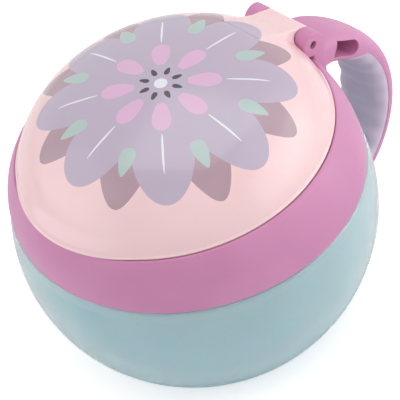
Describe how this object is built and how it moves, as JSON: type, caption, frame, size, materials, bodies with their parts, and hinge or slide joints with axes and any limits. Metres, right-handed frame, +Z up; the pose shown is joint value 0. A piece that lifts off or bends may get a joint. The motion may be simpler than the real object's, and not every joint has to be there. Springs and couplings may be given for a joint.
{
  "type": "toddler snack container",
  "caption": "Round snack cup with a screw-on collar, a C-shaped carrying handle with a soft grip, soft flaps across the mouth and a domed flip lid on a rear hinge pin.",
  "frame": {"origin": "centre of the base, on the surface that the container stands on", "axes": "+Z up along the bowl's axis; +Y towards the hinge and the handle; the lid's finger lip is at -Y"},
  "size_m": [0.1086, 0.1357, 0.091],
  "materials": {
    "bowl_plastic": "translucent, smooth",
    "gasket_silicone": "matte silicone",
    "collar_plastic": "satin moulded",
    "grip_rubber": "soft matte",
    "pin_steel": "drawn wire",
    "lid_plastic": "glossy, printed on top",
    "liner_plastic": "satin moulded",
    "flap_silicone": "soft matte silicone"
  },
  "bodies": {
    "bowl": {"bowl": "bowl_plastic"},
    "gasket": {"bowl_gasket": "gasket_silicone"},
    "collar": {"collar": "collar_plastic", "handle": "collar_plastic", "handle_grip": "grip_rubber", "flap_ring": "flap_silicone", "hinge_pin": "pin_steel"},
    "lid": {"lid_shell": "lid_plastic", "lid_liner": "liner_plastic"},
    "flap_1": {"flap_1": "flap_silicone"},
    "flap_2": {"flap_2": "flap_silicone"},
    "flap_3": {"flap_3": "flap_silicone"},
    "flap_4": {"flap_4": "flap_silicone"},
    "flap_5": {"flap_5": "flap_silicone"},
    "flap_6": {"flap_6": "flap_silicone"}
  },
  "joints": [
    {"name": "collar_lift", "type": "slide", "parent": "bowl", "child": "gasket", "axis": [0, 0, 1], "range_m": [0, 0.0083]},
    {"name": "collar_turn", "type": "hinge", "parent": "gasket", "child": "collar", "pos_m": [0, 0, 0.0518], "axis": [0, 0, 1], "range_deg": [0, 330]},
    {"name": "lid_hinge", "type": "hinge", "parent": "collar", "child": "lid", "pos_m": [0, 0.04595, 0.0738], "axis": [-1, 0, 0], "range_deg": [0, 125]},
    {"name": "flap_1_bend", "type": "hinge", "parent": "collar", "child": "flap_1", "pos_m": [0.03322, 0, 0.0628], "axis": [0, -1, 0], "range_deg": [-15, 60], "stiffness_Nm_per_rad": 0.01},
    {"name": "flap_2_bend", "type": "hinge", "parent": "collar", "child": "flap_2", "pos_m": [0.01661, 0.02877, 0.0628], "axis": [0.866, -0.5, 0], "range_deg": [-15, 60], "stiffness_Nm_per_rad": 0.01},
    {"name": "flap_3_bend", "type": "hinge", "parent": "collar", "child": "flap_3", "pos_m": [-0.01661, 0.02877, 0.0628], "axis": [0.866, 0.5, 0], "range_deg": [-15, 60], "stiffness_Nm_per_rad": 0.01},
    {"name": "flap_4_bend", "type": "hinge", "parent": "collar", "child": "flap_4", "pos_m": [-0.03322, 0, 0.0628], "axis": [0, 1, 0], "range_deg": [-15, 60], "stiffness_Nm_per_rad": 0.01},
    {"name": "flap_5_bend", "type": "hinge", "parent": "collar", "child": "flap_5", "pos_m": [-0.01661, -0.02877, 0.0628], "axis": [-0.866, 0.5, 0], "range_deg": [-15, 60], "stiffness_Nm_per_rad": 0.01},
    {"name": "flap_6_bend", "type": "hinge", "parent": "collar", "child": "flap_6", "pos_m": [0.01661, -0.02877, 0.0628], "axis": [-0.866, -0.5, 0], "range_deg": [-15, 60], "stiffness_Nm_per_rad": 0.01}
  ],
  "couplings": [
    {"joint": "collar_lift", "follows": "collar_turn", "m_per_rad": 0.0014324}
  ]
}
